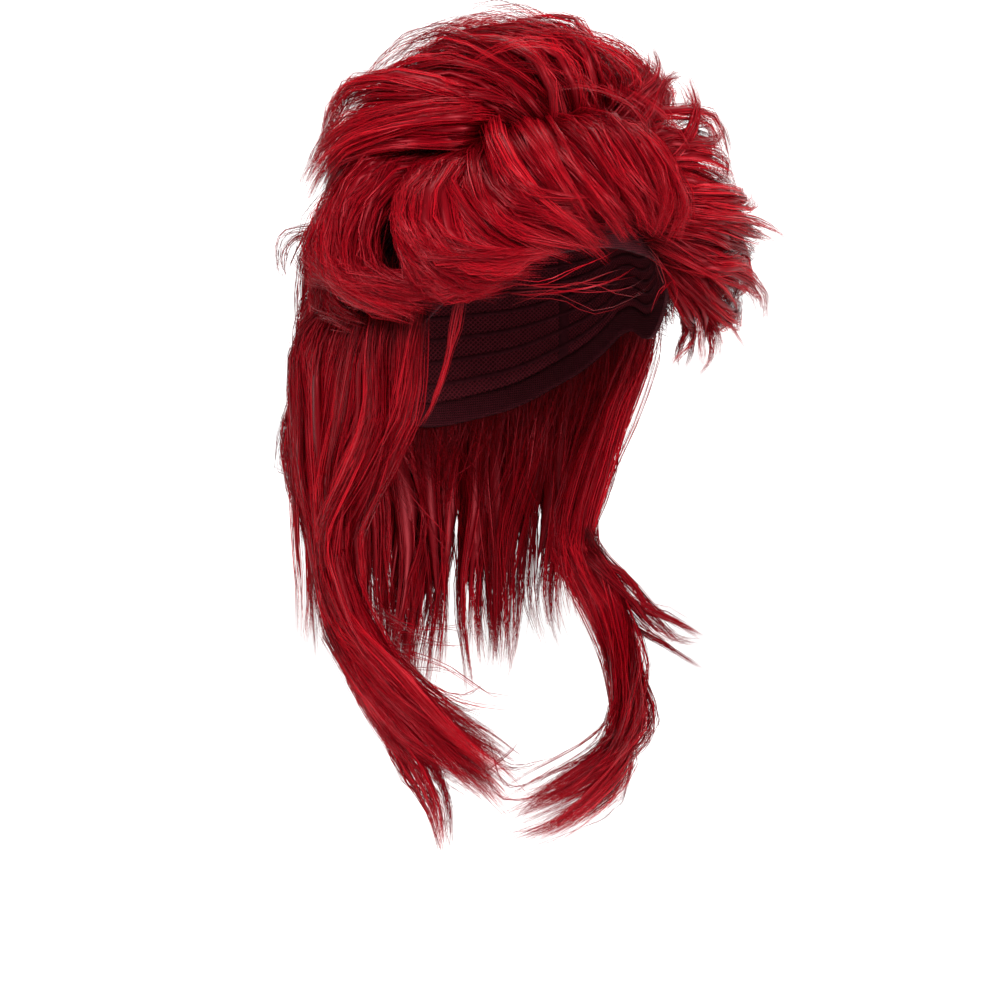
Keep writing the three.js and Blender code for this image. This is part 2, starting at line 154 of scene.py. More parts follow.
# Single hairs and thin wisps that have worked loose: what kind of rows, the rows, then the fan's numbers
looseHairs = [
    {"core": 0, "guides": [{kind: rows}], "clumps": clumps, "strands": strands, "spread": spread,
     "depth": depth, "curl": curl, "loose": loose, "play": play}
    for kind, rows, clumps, strands, spread, depth, curl, loose, play in (
        ("head", [[-45, 6, 0.3], [-48, -5, 0.18], [-51, -14, 0.12], [-56, -25, 0.1], [-64, -35, 0.1],
                  [-76, -42, 0.1]], 2, 12, 1.2, 1.0, 2, 0.1, 0.5),
        ("head", [[-104, 23, 0.5], [-116, 19, 0.68], [-126, 14, 0.76], [-130, 8, 0.68], [-124, 5, 0.52]],
         3, 14, 2.2, 1.8, 3, 0.1, 1),
        ("head", [[-34, 6, 0.35], [-18, 7, 0.25], [-3, 10, 0.15], [15, 17, 0.1]],
         7, 2, 2.0, 1.5, 5, 0.5, 1.5),
        ("head", [[11, 18, 0.1], [21, 10, 0.08], [19, 2, 0.1], [10, -3, 0.12]], 4, 2, 2.0, 1.5, 5, 0.5, 1.5),
        ("hang", [[-119, 1.07, 0.646], [-100, 0.9, 0.694], [-70, 0.85, 0.711], [-46, 0.85, 0.704]],
         6, 3, 2.5, 2.0, 5, 0.6, 1.5),
        ("hang", [[-85, 0.95, 0.72], [-64, 0.85, 0.769], [-45, 0.85, 0.783], [-23, 0.88, 0.768]],
         6, 4, 2.5, 2.0, 5, 0.6, 1.5),
        ("hang", [[-75, 1.0, 0.486], [-67, 0.95, 0.553], [-53, 0.85, 0.603]], 3, 2, 1.5, 1.5, 4, 0.4, 1.5),
        ("hang", [[-44, 0.88, 0.843], [-32, 0.86, 0.877], [-17, 0.88, 0.871], [-10, 0.9, 0.844]],
         6, 4, 2.5, 2.0, 5, 0.6, 1.5),
    )
]

# A dome row is [degrees to the side, degrees to the back, lift], both from the top of the head
crownArcs = {
    "guides": domeGuides(
        [[1, -4, 0], [-9, 3, 0.57], [-18, 10, 0.8], [-29, 18, 0.8], [-37, 24, 0.58]],
        [[4, -8, 0], [-3, -2, 0.63], [-12, 5, 0.9], [-22, 11, 0.84], [-30, 16, 0.64]],
        [[9, -12, 0], [4, -8, 0.65], [-4, -4, 0.96], [-15, 2, 0.92], [-24, 7, 0.7]],
        [[12, -15, 0], [10, -13, 0.65], [4, -9, 0.96], [-7, -2, 0.98], [-17, 4, 0.78]],
        [[15, -18, 0], [14, -18, 0.6], [10, -14, 0.92], [0, -6, 0.98], [-10, 0, 0.84]],
        [[19, -21, 0], [21, -22, 0.6], [19, -22, 0.88], [11, -18, 0.98], [2, -12, 0.9]],
        [[22, -24, 0], [27, -26, 0.6], [30, -26, 0.86], [31, -21, 0.98], [27, -16, 0.96]],
    ),
    "clumps": 150, "strands": 13, "spread": 5.0, "depth": 5.0, "curl": -4, "loose": 0.08,
    "shift": 11, "airy": 2.2, "core": 0, "perLock": 3, "play": 1.2,
}

# From the front hair's roots up and back over the crown
crownRise = {
    "guides": domeGuides(
        [[-16, -26, 0], [-22, -22, 0.44], [-30, -14, 0.74], [-39, -5, 0.84], [-47, 6, 0.66]],
        [[-8, -29, 0], [-12, -26, 0.5], [-19, -18, 0.84], [-28, -8, 0.94], [-38, 4, 0.76]],
        [[1, -30, 0], [-2, -28, 0.54], [-8, -21, 0.9], [-17, -10, 1.0], [-27, 2, 0.84]],
        [[10, -29, 0], [9, -28, 0.56], [5, -22, 0.92], [-3, -12, 1.0], [-13, 1, 0.86]],
        [[18, -27, 0], [21, -27, 0.54], [21, -22, 0.88], [16, -12, 0.98], [8, 2, 0.84]],
        [[24, -24, 0], [30, -23, 0.52], [34, -17, 0.82], [33, -8, 0.9], [28, 6, 0.76]],
    ),
    "clumps": 54, "strands": 42, "spread": 7.5, "depth": 5.0, "curl": 4, "loose": 0.16,
    "shift": 2, "fullTip": 0.3, "play": 2.2, "perLock": 3, "rootScatter": 3,
}

crownTop = {
    "guides": domeGuides(
        [[10, -22, 0], [0, -16, 0.42], [-14, -8, 0.6], [-28, 2, 0.66], [-40, 12, 0.5]],
        [[14, -12, 0], [4, -6, 0.44], [-10, 2, 0.62], [-24, 12, 0.62], [-36, 24, 0.5]],
        [[18, 0, 0], [8, 6, 0.44], [-4, 16, 0.58], [-16, 28, 0.58], [-26, 42, 0.45]],
        [[26, -8, 0], [26, 6, 0.44], [24, 20, 0.58], [22, 36, 0.56], [20, 52, 0.45]],
        [[28, -18, 0], [38, -8, 0.5], [44, 6, 0.62], [48, 20, 0.6], [50, 34, 0.5]],
    ),
    "clumps": 44, "strands": 42, "spread": 9.0, "depth": 7.0, "curl": 6, "loose": 0.25,
    "fullTip": 0.3,
}

backTop = {
    "guides": headGuides(
        [[84, 72, 0], [88, 58, 0.56], [94, 42, 0.74], [99, 26, 0.7], [106, 12, 0.58]],
        [[180, 74, 0], [176, 60, 0.5], [174, 43, 0.66], [170, 27, 0.62], [168, 12, 0.48]],
        [[250, 72, 0], [240, 56, 0.5], [236, 41, 0.62], [232, 26, 0.52], [226, 12, 0.46]],
    ),
    "clumps": 60, "strands": 44, "spread": 12.0, "depth": 7.0, "curl": 6, "loose": 0.25,
    "wave": 2,
}

backLow = {
    "guides": headGuides(
        [[90, 42, 0], [95, 28, 0.4], [101, 12, 0.5], [106, -2, 0.46], [112, -14, 0.36]],
        [[112, 40, 0], [115, 27, 0.42], [118, 11, 0.56], [121, -3, 0.54], [125, -15, 0.42]],
        [[180, 40, 0], [178, 27, 0.38], [175, 11, 0.48], [172, -3, 0.5], [168, -15, 0.4]],
        [[244, 40, 0], [242, 27, 0.38], [241, 11, 0.48], [238, -2, 0.52], [232, -13, 0.44]],
    ),
    "clumps": 56, "strands": 42, "spread": 12.0, "depth": 7.0, "curl": 6, "loose": 0.25,
    "wave": 2,
}

backMiddle = {
    "guides": [
        {
            "head": [[112, 16, 0], [116, 0, 0.5], [121, -16, 0.6]],
            "hang": [[126, 1.44, 0.455], [128, 1.4, 0.52], [128, 1.32, 0.6]],
        },
        {
            "head": [[150, 14, 0], [151, -2, 0.46], [152, -18, 0.62]],
            "hang": [[153, 1.55, 0.46], [154, 1.49, 0.54], [155, 1.42, 0.66]],
        },
        {
            "head": [[180, 12, 0], [179, -4, 0.44], [178, -18, 0.62]],
            "hang": [[178, 1.56, 0.46], [178, 1.5, 0.56], [178, 1.42, 0.72]],
        },
        {
            "head": [[214, 14, 0], [213, -2, 0.46], [212, -18, 0.66]],
            "hang": [[212, 1.57, 0.46], [213, 1.51, 0.53], [214, 1.44, 0.64]],
        },
        {
            "head": [[244, 16, 0], [242, 0, 0.48], [240, -14, 0.66]],
            "hang": [[239, 1.5, 0.44], [240, 1.41, 0.5], [242, 1.32, 0.57]],
        },
    ],
    "clumps": 60, "strands": 40, "spread": 9.0, "depth": 6.0, "curl": 5, "loose": 0.3,
    "wave": 3, "fullTip": 0.1,
}

rightLength = {
    "guides": [
        {
            "head": [[-64, 2, 0.06], [-63, -11, 0.16], [-71, -29, 0.18]],
            "hang": [[-86, 1, 0.46], [-106, 1.02, 0.54], [-114, 1.1, 0.61], [-104, 1.1, 0.69],
                     [-78, 0.98, 0.76], [-48, 0.87, 0.82], [-24, 0.82, 0.875]],
        },
        {
            "head": [[-81, 1, 0.08], [-78, -13, 0.24], [-81, -32, 0.3]],
            "hang": [[-94, 1.18, 0.48], [-105, 1.24, 0.56], [-104, 1.2, 0.64], [-92, 1.11, 0.71],
                     [-68, 0.99, 0.785], [-44, 0.88, 0.845], [-24, 0.82, 0.9]],
        },
        {
            "head": [[-102, 1, 0.1], [-99, -13, 0.36], [-102, -30, 0.5]],
            "hang": [[-104, 1.28, 0.5], [-108, 1.25, 0.59], [-101, 1.2, 0.67], [-84, 1.1, 0.755],
                     [-60, 0.98, 0.825], [-41, 0.88, 0.885], [-26, 0.84, 0.925]],
        },
        {
            "head": [[-123, 3, 0.26], [-122, -8, 0.72], [-121, -24, 0.76]],
            "hang": [[-112, 1.4, 0.49], [-111, 1.28, 0.6], [-104, 1.2, 0.69], [-87, 1.12, 0.775],
                     [-67, 1.02, 0.85], [-48, 0.92, 0.91], [-34, 0.87, 0.95]],
        },
    ],
    "clumps": 64, "strands": 54, "spread": 8.0, "depth": 5.5, "curl": 3, "loose": 0.2,
    "wave": 3, "fullTip": 1, "play": 2, "cross": 1.4,
}

chestLock = {
    "guides": [{"hang": [[-104, 1.26, 0.68], [-88, 1.14, 0.77], [-71, 1.03, 0.86], [-61, 0.98, 0.93],
                         [-56, 0.97, 1]]}],
    "clumps": 9, "strands": 40, "spread": 4.0, "depth": 3.0, "curl": 2, "loose": 0.3,
    "wave": 1, "fullTip": 1, "perLock": 3, "play": 1,
}

leftLength = {
    "guides": [
        {
            "head": [[84, 2, 0.06], [89, -11, 0.14], [99, -30, 0.14]],
            "hang": [[112, 0.93, 0.49], [118, 0.9, 0.6], [104, 0.92, 0.685], [87, 0.86, 0.76],
                     [50, 0.76, 0.825], [12, 0.73, 0.88], [-14, 0.76, 0.915], [-34, 0.81, 0.93]],
        },
        {
            "head": [[122, 1, 0.14], [122, -12, 0.44], [124, -28, 0.5]],
            "hang": [[125, 1.22, 0.5], [122, 1.02, 0.6], [106, 0.99, 0.69], [88, 0.93, 0.77],
                     [64, 0.84, 0.84], [28, 0.82, 0.905], [-10, 0.83, 0.95], [-42, 0.87, 0.965]],
        },
    ],
    "clumps": 46, "strands": 58, "spread": 8.0, "depth": 6.0, "curl": 3, "loose": 0.2,
    "wave": 3, "fullTip": 1, "play": 2,
}

leftFlick = {
    "guides": [{"hang": [[116, 0.98, 0.59], [104, 1, 0.64], [94, 1.1, 0.685], [86, 1.26, 0.715],
                         [80, 1.42, 0.735]]}],
    "clumps": 7, "strands": 40, "spread": 4.0, "depth": 3.0, "curl": 2, "loose": 0.4,
    "fullTip": 1, "perLock": 5, "play": 1,
}

napeCurtain = {
    "guides": [
        {
            "head": [[115, -8, 0.1], [118, -24, 0.36]],
            "hang": [[123, 1.34, 0.46], [126, 1.24, 0.56], [127, 1.18, 0.66], [124, 1.18, 0.74]],
        },
        {
            "head": [[180, -10, 0.1], [180, -24, 0.4]],
            "hang": [[180, 1.52, 0.46], [179, 1.42, 0.58], [181, 1.34, 0.71], [180, 1.33, 0.86]],
        },
        {
            "head": [[234, -10, 0.16], [236, -24, 0.6]],
            "hang": [[241, 1.4, 0.46], [244, 1.31, 0.56], [246, 1.26, 0.64], [247, 1.25, 0.72]],
        },
    ],
    "clumps": 90, "strands": 42, "spread": 12.5, "depth": 7.0, "curl": 4, "loose": 0.2,
    "wave": 3, "fullTip": 0.8, "play": 2, "perLock": 2, "cross": 0.6,
}


def mirrored(fan):
    guides = [{"head": [[-b, e, lift] for b, e, lift in guide["head"]]} for guide in fan["guides"]]
    return {**fan, "guides": guides}


# Each piece of hair: the solid that it stands for, its fans of locks and its own seed
hairPieces = {
    "fringe_strands": {"node": "fringe_hair", "seed": 11, "fans": [fringeSwoop]},
    "left_front_strands": {"node": "left_front_hair", "seed": 12, "fans": [frontBurst, templeFlick]},
    "right_roll_strands": {"node": "right_roll_hair", "seed": 13, "fans": [templeRoll, sideRoll, rollFill]},
    "left_roll_strands": {"node": "left_roll_hair", "seed": 14, "fans": [mirrored(sideRoll)]},
    "crown_top_strands": {
        "node": "crown_hair", "seed": 15, "fans": [crownSweep, crownRise, crownTop, crownArcs],
    },
    "crown_back_strands": {"node": "crown_hair", "seed": 16, "fans": [backTop, backLow, backMiddle]},
    "right_length_strands": {"node": "right_length_hair", "seed": 17, "fans": [rightLength, chestLock]},
    "left_length_strands": {"node": "left_length_hair", "seed": 18, "fans": [leftLength, leftFlick]},
    "nape_strands": {"node": "nape_hair", "seed": 19, "fans": [napeCurtain]},
    "loose_hairs": {"node": None, "seed": 20, "fans": looseHairs},
}


def headingOf(bearing, elevation):
    b, e = np.radians(bearing), np.radians(elevation)
    return np.stack([np.sin(b) * np.cos(e), -np.cos(b) * np.cos(e), np.sin(e)], -1)


def skullRadius(heading, offset):
    tall = np.where(heading[..., 2] >= 0, wigSizes["crownHeight"], wigSizes["napeDepth"]) + offset
    wide = wigSizes["headWidth"] / 2 + offset
    long = wigSizes["headLength"] / 2 + offset
    return 1 / np.sqrt(
        (heading[..., 0] / wide) ** 2 + (heading[..., 1] / long) ** 2 + (heading[..., 2] / tall) ** 2
    )


def onHead(rows):
    heading = headingOf(rows[..., 0], rows[..., 1])
    offset = wigSizes["hairBase"] + rows[..., 2] * wigSizes["loft"]
    return middle + heading * skullRadius(heading, offset)[..., None]


def hanging(rows):
    b = np.radians(rows[..., 0])
    out = rows[..., 1] * wigSizes["neckReach"]
    return np.stack([np.sin(b) * out, -np.cos(b) * out, -rows[..., 2] * wigSizes["fullDrop"]], -1)


def keepOffHead(points, gap):
    fromMiddle = points - middle
    far = np.linalg.norm(fromMiddle, axis=-1, keepdims=True)
    heading = fromMiddle / np.maximum(far, 1e-6)
    least = skullRadius(heading, wigSizes["hairBase"] + gap)[..., None]
    return middle + heading * np.maximum(far, least)


def unit(vectors):
    return vectors / np.maximum(np.linalg.norm(vectors, axis=-1, keepdims=True), 1e-9)


def between(guides, key, share):
    # rows mixed from the two guides that each clump lies between, row by row
    rows = np.array([guide[key] for guide in guides], float)
    at = np.clip(share, 0, 1) * (len(guides) - 1)
    first = np.minimum(at.astype(int), max(0, len(guides) - 2))
    second = np.minimum(first + 1, len(guides) - 1)
    mix = (at - first)[..., None]
    row = np.arange(rows.shape[1])
    return rows[first, row] * (1 - mix) + rows[second, row] * mix


def gatherLocks(fan, rng):
    # clumps belong to larger locks, which keep apart and cross each other a little
    clumps = fan["clumps"]
    locks = max(1, round(clumps / fan.get("perLock", 5)))
    member = np.arange(clumps) % locks
    home = (np.arange(locks) + rng.uniform(0.15, 0.85, locks)) / locks
    rng.shuffle(home)
    share = 0.03 + 0.94 * home[member] + rng.normal(0, 0.26 / locks, clumps)
    depth = np.clip(0.75 * rng.uniform(0, 1, locks)[member] + rng.uniform(0, 0.25, clumps), 0, 1)
    return member, share, depth


def onDome(rows):
    bearing = np.degrees(np.arctan2(rows[..., 0], -rows[..., 1]))
    elevation = 90 - np.hypot(rows[..., 0], rows[..., 1])
    return onHead(np.stack([bearing, elevation, rows[..., 2]], -1))


def clumpControls(fan, member, share, depth, rng):
    guides, clumps, locks = fan["guides"], len(share), member.max() + 1
    rowCounts = [len(guides[0].get(key, [])) for key in ("head", "dome", "hang")]
    count = sum(rowCounts)
    onward = np.linspace(0, 1, count)
    crossing = rng.normal(0, 0.12 * fan.get("cross", 1), locks)[member]
    shares = share[:, None] + crossing[:, None] * (onward - 0.3)
    parts = []
    for key, turnedInto in (("head", onHead), ("dome", onDome)):
        if key in guides[0]:
            rows = between(guides, key, shares[:, : len(guides[0][key])])
            if key == "dome":
                rows[..., :2] += rng.normal(0, fan.get("shift", 3), (clumps, 1, 2))
            if "rootScatter" in fan:
                rows[:, 0, :2] += rng.normal(0, fan["rootScatter"], (clumps, 2))
            lifts = 1 + 0.14 * fan["loose"] * rng.normal(0, 1, (clumps, rows.shape[1]))
            rows[..., 2] *= (0.55 + 0.5 * depth)[:, None] * lifts
            parts.append(turnedInto(rows))
    if "hang" in guides[0]:
        rows = between(guides, "hang", shares[:, -len(guides[0]["hang"]) :])
        rows[..., 1] *= (0.94 + 0.09 * depth)[:, None]
        rows[..., 2] += 0.016 * fan["loose"] * rng.normal(0, 1, (clumps, 1))
        parts.append(hanging(rows))
    points = np.concatenate(parts, 1)
    # each lock wanders by a few millimetres, and each clump in it by less
    play = fan.get("play", 3) / 1000
    wander = rng.normal(0, play, (locks, count, 3)) + rng.normal(0, play, (locks, 1, 3))
    drift = wander[member] * np.minimum(1, 0.15 + 1.6 * onward)[:, None]
    drift += rng.normal(0, 0.008 * fan["loose"], (clumps, count, 3))
    drift += rng.normal(0, 0.013 * fan["loose"], (clumps, 1, 3)) * (0.3 + 0.7 * onward)[:, None]
    return points + drift


def smoothCurves(controls, count):
    # a smooth line through the control points, then evenly spaced along it
    ahead = np.concatenate(
        [2 * controls[:, :1] - controls[:, 1:2], controls, 2 * controls[:, -1:] - controls[:, -2:-1]], 1
    )
    t = np.linspace(0, 1, 12, endpoint=False)[None, :, None]
    spans = []
    for k in range(controls.shape[1] - 1):
        a, b, c, d = (ahead[:, k + j, None] for j in range(4))
        spans.append(
            0.5 * (2 * b + (c - a) * t + (2 * a - 5 * b + 4 * c - d) * t**2 + (3 * b - a - 3 * c + d) * t**3)
        )
    fine = np.concatenate(spans + [controls[:, -1:]], 1)
    steps = np.linalg.norm(np.diff(fine, axis=1), axis=-1)
    along = np.concatenate([np.zeros((len(fine), 1)), np.cumsum(steps, 1)], 1)
    curves = np.empty((len(fine), count, 3))
    for i, line in enumerate(fine):
        even = np.linspace(0, along[i, -1], count)
        for axis in range(3):
            curves[i, :, axis] = np.interp(even, along[i], line[:, axis])
    return curves, along[:, -1]


def framesAlong(curves):
    along = unit(np.gradient(curves, axis=1))
    core = np.zeros_like(curves)
    core[..., 2] = np.minimum(curves[..., 2], middle[2])
    across = unit(np.cross(curves - core, along))
    return across, np.cross(along, across)


def readAt(values, at):
    # values (clump, place, 3) read at shares of the length (clump, strand, place)
    last = values.shape[1] - 1
    spot = np.clip(at, 0, 1) * last
    low = np.minimum(spot.astype(int), last - 1)
    mix = (spot - low)[..., None]
    row = np.arange(len(values))[:, None, None]
    return values[row, low] * (1 - mix) + values[row, low + 1] * mix


strandLook = {
    "halfWidth": 0.00022,  # of the widest strands, in metres
    "sectionEvery": 0.0175,  # of length, metres
    "roll": 0.75,  # how far strands turn about their own length, radians
    "flyaways": 0.03,  # the share that stray out of their clump
    "wisp": 9,  # strands that keep together inside a clump
    "wispWidth": 0.0021,
    "rootShare": 0.06,  # metres from the root at which the hair counts as half way to its tip
    "overBox": 0.007,  # metres that a strand may leave the solids' box by
    "curvePoints": 40,
    "waveLength": 0.13,  # of a lock's own waves
}


def strandsAround(centre, side, out, grow, width, thick, airy, rng):
    # strands gathered in small wisps about the middle line of their clump
    clumps, strands = centre.shape[:2]
    wisps = max(1, strands // strandLook["wisp"])
    member = rng.integers(0, wisps, (clumps, strands))
    row = np.arange(clumps)[:, None]
    angle = rng.uniform(0, 2 * np.pi, (clumps, wisps))[row, member][..., None]
    reach = np.sqrt(rng.uniform(0, 1, (clumps, wisps)))[row, member][..., None]
    sway = rng.uniform(0, 1, (clumps, wisps, 2))[row, member]
    shape = (clumps, strands, 1)
    stray = rng.uniform(0, 1, shape) < strandLook["flyaways"]
    ownAngle = rng.uniform(0, 2 * np.pi, shape)
    ownReach = strandLook["wispWidth"] * np.sqrt(rng.uniform(0, 1, shape))
    ownReach = ownReach * np.interp(grow, [0, 0.3, 1], [1.3, 1, 0.4]) * np.where(stray, 2.2, 1)
    wave = np.where(stray, 3.4, 1.1) / 1000 * grow
    turns = 0.7 + sway[..., :1] + rng.normal(0, 0.08, shape)
    sideways = wave * np.sin(2 * np.pi * (turns * grow + sway[..., 1:]))
    outward = wave * np.sin(2 * np.pi * (turns * grow + sway[..., :1] + 0.25))
    ownReach = ownReach * airy
    across = np.cos(angle) * reach * width + np.cos(ownAngle) * ownReach + sideways
    away = np.sin(angle) * reach * thick + np.sin(ownAngle) * ownReach + outward
    return centre + side * across[..., None] + out * away[..., None], stray


def nearSolids(points):
    # true for each line of points that stays within a few millimetres of the solids' own box
    low, high = (np.array(corner) for corner in cadBox)
    return ((points > low - strandLook["overBox"]) & (points < high + strandLook["overBox"])).all((-1, -2))


def finishStrands(points, side, out, grow, fromRoot, stray, toneAndShade, rng):
    shape = (*points.shape[:2], 1)
    roll = rng.normal(0, strandLook["roll"], shape) + rng.normal(0, 0.5, shape) * grow
    flat = unit(side * np.cos(roll)[..., None] + out * np.sin(roll)[..., None])
    taper = np.interp(grow, [0, 0.1, 0.75, 1], [0.7, 1, 0.85, 0.12])
    half = strandLook["halfWidth"] * rng.uniform(0.6, 1.1, shape) * np.where(stray, 0.55, 1) * taper
    sections = points.shape[2]
    points = keepOffHead(points, 0.0004).reshape(-1, sections, 3)
    near = nearSolids(points)
    return {
        "points": points[near],
        "flat": flat.reshape(-1, sections, 3)[near],
        "half": np.broadcast_to(half, shape[:2] + (sections,)).reshape(-1, sections)[near],
        "toneAndShade": toneAndShade.reshape(-1)[near],
        "fromRoot": np.broadcast_to(fromRoot, shape[:2] + (sections,)).reshape(-1, sections)[near],
    }


def clumpCurves(fan, rng):
    # the middle line of each clump, bent by its own waves and the curl of its tip
    clumps = fan["clumps"]
    member, share, depth = gatherLocks(fan, rng)
    curves, lengths = smoothCurves(clumpControls(fan, member, share, depth, rng), strandLook["curvePoints"])
    across, off = framesAlong(curves)
    t = np.linspace(0, 1, strandLook["curvePoints"])[None, :, None]
    locks = member.max() + 1
    shape = (locks, 1, 1)
    curl, hook = fan["curl"] / 1000, fan.get("hook", 0) / 1000
    tipOff = rng.normal(0.35, 0.8, shape)[member] * curl
    tipAcross = rng.normal(0, 1, shape)[member] * curl
    hooks = rng.choice([-1, 1], shape, p=[0.3, 0.7])[member] * rng.uniform(0.6, 1.2, (clumps, 1, 1))
    hooked = hook * hooks * np.maximum(0, t - 0.5) ** 2 * 4
    swing = fan.get("wave", 0) / 1000
    turns = lengths[:, None, None] / strandLook["waveLength"]
    phase = rng.uniform(0, 1, (locks, 1, 2))[member]
    curves = curves + t**3 * (off * tipOff + across * tipAcross) + hooked * across
    curves = curves + swing * t * across * np.sin(2 * np.pi * (turns * t + phase[..., :1]))
    curves = curves + 0.6 * swing * t * off * np.sin(2 * np.pi * (turns * t + phase[..., 1:]))
    return keepOffHead(curves, 0.0015), across, off, depth, np.median(lengths)


def growFan(fan, rng):
    clumps, strands = fan["clumps"], fan["strands"]
    curves, across, off, depth, length = clumpCurves(fan, rng)
    sections = int(np.clip(length / strandLook["sectionEvery"], 8, 19))
    fullTip = fan.get("fullTip", 0)

    shape = (clumps, strands, 1)
    grow = np.linspace(0, 1, sections)[None, None, :]
    start = rng.uniform(0, 0.05, shape)
    end = rng.uniform(0.8 + 0.1 * fullTip, 1, shape) * rng.uniform(0.84 + 0.08 * fullTip, 1, (clumps, 1, 1))
    at = start + (end - start) * grow
    centre, side, out = readAt(curves, at), readAt(across, at), readAt(off, at)
    swell = np.interp(grow, [0, 0.2, 0.6, 1], [0.7, 1, 0.72 + 0.2 * fullTip, 0.2 + 0.35 * fullTip])
    size = rng.uniform(0.6, 1.25, (clumps, 1, 1))
    width, thick = fan["spread"] / 1000 * size * swell, fan["depth"] / 1000 * size * swell
    points, stray = strandsAround(centre, side, out, grow, width, thick, fan.get("airy", 1), rng)
    # painted shade: clumps that lie further in, nearer the head, are darker; the rest of the spread is
    # random
    toneAndShade = 0.5 + 0.26 * (depth[:, None, None] - 0.5) + rng.normal(0, 0.08, (clumps, 1, 1))
    toneAndShade = np.clip(toneAndShade + rng.normal(0, 0.11, shape), 0.03, 0.97)
    fromRoot = grow * length / (grow * length + strandLook["rootShare"])
    core = (readAt(curves, at[:, :1])[:, 0], readAt(across, at[:, :1])[:, 0], readAt(off, at[:, :1])[:, 0])
    packed = fan.get("core", 1)
    core = (*core, 0.5 * packed * width[:, 0], 0.42 * packed * thick[:, 0], depth)
    near = nearSolids(core[0])
    core = [values[near] for values in core]
    return finishStrands(points, side, out, grow, fromRoot, stray, toneAndShade, rng), (*core, fromRoot[0, 0])


# Short hair close to the cap, laid along the nearest guides, so no cap shows between locks
underHairSize = {
    "strands": 7600, "steps": 6, "length": 0.05, "lift": 0.16, "offCap": 0.0005,
    "headRadius": 0.09, "sharpness": 22,  # how closely it keeps to the nearest guides
}
capEdge = [(0, 19), (42, 13), (62, -3), (76, -15), (93, -7), (116, -23), (146, -34), (180, -38)]


def edgeElevation(bearing):
    # read from the table and rounded off at its corners
    nudges = np.linspace(-7, 7, 5)
    turn = np.abs((np.asarray(bearing, float)[..., None] + nudges + 180) % 360 - 180)
    return np.interp(turn, *zip(*capEdge)).mean(-1)


def guideFlow():
    spots, ways = [], []
    for hairPiece in hairPieces.values():
        for fan in hairPiece["fans"]:
            for guide in fan["guides"]:
                for rows, turnedInto in ((guide.get("head"), onHead), (guide.get("dome"), onDome)):
                    if not rows or fan is crownArcs or not fan.get("core", 1):
                        continue
                    line, _ = smoothCurves(turnedInto(np.array([rows], float)), 14)
                    ways.append(unit(np.gradient(line[0], axis=0)))
                    spots.append(unit(line[0] - middle))
    return np.concatenate(spots), np.concatenate(ways)


def traceAlong(heading, flow, shake, length, lift):
    spots, ways = flow
    steps, rows = underHairSize["steps"], []
    for step in range(steps):
        t = step / (steps - 1)
        offset = wigSizes["hairBase"] + underHairSize["offCap"] + wigSizes["loft"] * lift * t**0.7
        rows.append(middle + heading * skullRadius(heading, offset)[:, None])
        near = np.exp(underHairSize["sharpness"] * (heading @ spots.T - 1))
        way = unit((near @ ways) / near.sum(1, keepdims=True) + shake)
        way = unit(way - heading * (way * heading).sum(1, keepdims=True))
        heading = unit(heading + way * length / (steps - 1) / underHairSize["headRadius"])
    return np.stack(rows, 1)


def growUnderHair(rng):
    number = underHairSize["strands"]
    bearing = rng.uniform(-180, 180, number * 2)
    elevation = np.degrees(np.arcsin(rng.uniform(-0.64, 1, number * 2)))
    inside = elevation > edgeElevation(bearing) + 2
    bearing, elevation = bearing[inside][:number], elevation[inside][:number]
    heading = headingOf(bearing, elevation)
    length = underHairSize["length"] * rng.uniform(0.6, 1.2, len(heading))[:, None]
    lift = underHairSize["lift"] * rng.uniform(0.2, 1.1, len(heading))
    shake = rng.normal(0, 0.16, heading.shape)
    flow = guideFlow()
    points = traceAlong(heading, flow, shake, length, lift)
    # hair in front stops at the cap's edge, so those strands are laid again, shorter
    ways = unit(points - middle)
    bearings = np.degrees(np.arctan2(ways[..., 0], -ways[..., 1]))
    beyond = np.degrees(np.arcsin(ways[..., 2])) < edgeElevation(bearings) + 3
    beyond &= np.abs(bearings) < 92
    first = np.where(beyond.any(1), beyond.argmax(1), underHairSize["steps"])
    length = length * np.minimum(1, np.maximum(0.05, (first - 1) / (underHairSize["steps"] - 1)))[:, None]
    points = traceAlong(heading, flow, shake, length, lift)[:, None]
    side, out = framesAlong(points[:, 0])
    grow = np.linspace(0, 1, underHairSize["steps"])[None, None, :]
    # painted shade: the hair under the locks is darker than they are, with random variation
    toneAndShade = np.clip(rng.normal(0.3, 0.12, (len(points), 1, 1)), 0.03, 0.97)
    stray = np.zeros((len(points), 1, 1), bool)
    fromRoot = 0.5 * grow
    return finishStrands(points, side[:, None], out[:, None], grow, fromRoot, stray, toneAndShade, rng)


def ribbons(batch):
    # each strand is a flat ribbon two corners wide
    points, step = batch["points"], batch["flat"] * batch["half"][..., None]
    number, sections = points.shape[:2]
    index = np.arange(number * sections * 2).reshape(number, sections, 2)
    faces = np.stack([index[:, :-1, 0], index[:, :-1, 1], index[:, 1:, 1], index[:, 1:, 0]], -1)
    toneAndShade = np.broadcast_to(batch["toneAndShade"][:, None], (number, sections))
    places = np.stack([np.stack([toneAndShade + nudge, batch["fromRoot"]], -1) for nudge in (-0.004, 0.004)], 2)
    corners = np.stack([points - step, points + step], 2)
    return corners.reshape(-1, 3), faces.reshape(-1, 4), places.reshape(-1, 2)


